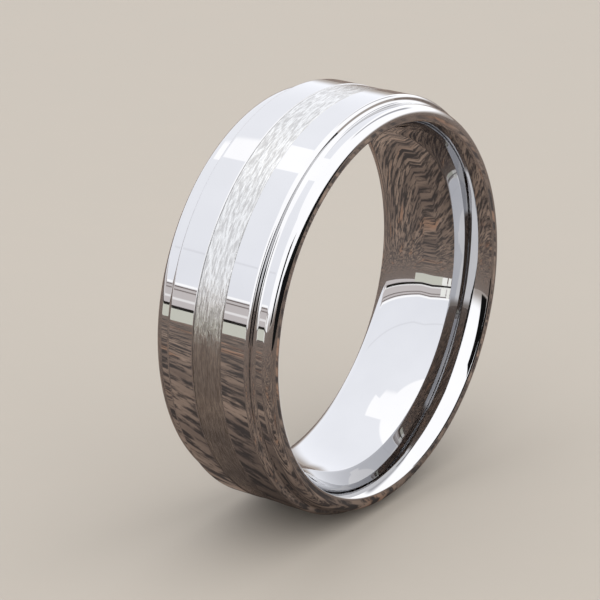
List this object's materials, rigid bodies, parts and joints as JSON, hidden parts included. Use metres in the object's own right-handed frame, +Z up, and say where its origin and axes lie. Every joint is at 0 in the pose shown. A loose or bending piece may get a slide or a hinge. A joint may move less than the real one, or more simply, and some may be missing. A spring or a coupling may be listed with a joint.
{
  "type": "wedding band",
  "caption": "Polished wedding band with stepped edges, a brushed inlay round the middle and a comfort-fit bore that is crowned inside and rolled at both mouths.",
  "frame": {"origin": "centre of the finger hole, midway between the two side faces", "axes": "+Y along the band's axis, the way the finger goes; +Z up with the band standing on its rim; +X to the right seen along +Y"},
  "size_m": [0.0248, 0.008, 0.0248],
  "materials": {
    "polished_carbide": "mirror-polished tungsten carbide",
    "brushed_inlay": "satin, brushed round the band with short fine strokes",
    "cured_adhesive": "cured clear epoxy"
  },
  "bodies": {
    "root": {"band_body": "polished_carbide", "center_inlay": "brushed_inlay", "inlay_bond": "cured_adhesive"}
  },
  "joints": []
}
